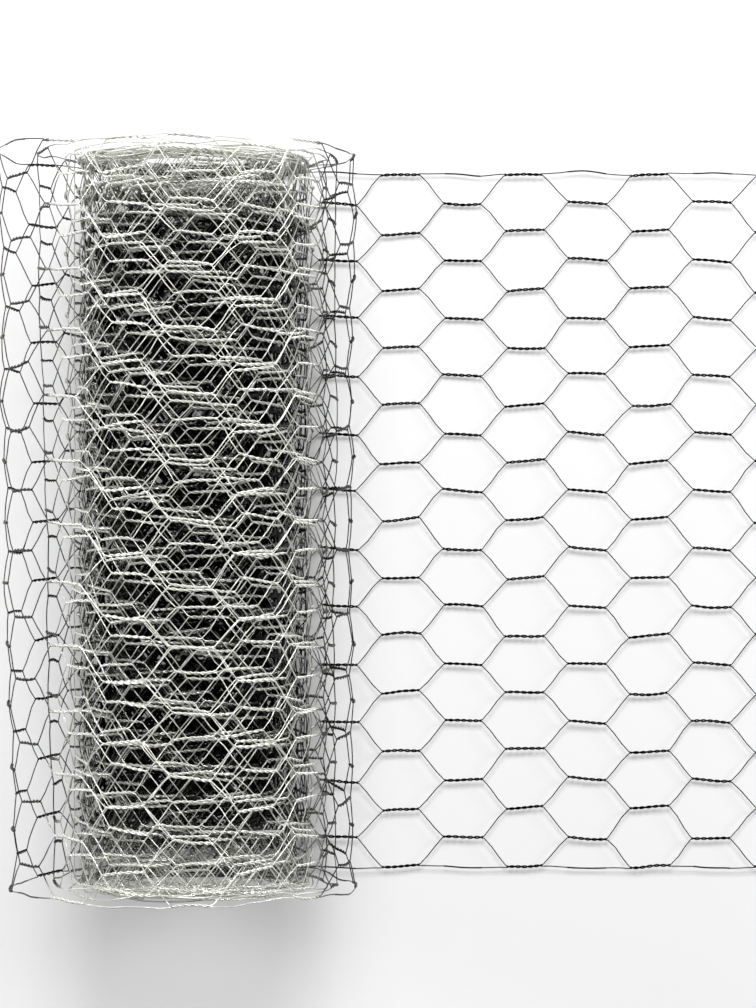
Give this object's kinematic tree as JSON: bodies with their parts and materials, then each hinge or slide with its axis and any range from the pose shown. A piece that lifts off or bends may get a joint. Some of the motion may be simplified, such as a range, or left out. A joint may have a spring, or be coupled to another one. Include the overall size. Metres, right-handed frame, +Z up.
{
  "type": "roll of chicken wire",
  "caption": "Roll of hexagonal galvanised wire netting lying on its side, with one loose outer turn and its free end unrolled flat on the floor.",
  "frame": {"origin": "on the floor, below the middle of the bounding box", "axes": "+X along the unrolled end, away from the roll; +Y along the roll's axis; +Z up from the floor"},
  "size_m": [0.339, 0.3012, 0.1441],
  "materials": {
    "galvanised_wire": "bright galvanised steel wire, slightly mottled"
  },
  "bodies": {
    "root": {"wound_roll": "galvanised_wire", "loose_turn": "galvanised_wire", "unrolled_end": "galvanised_wire"}
  },
  "joints": []
}
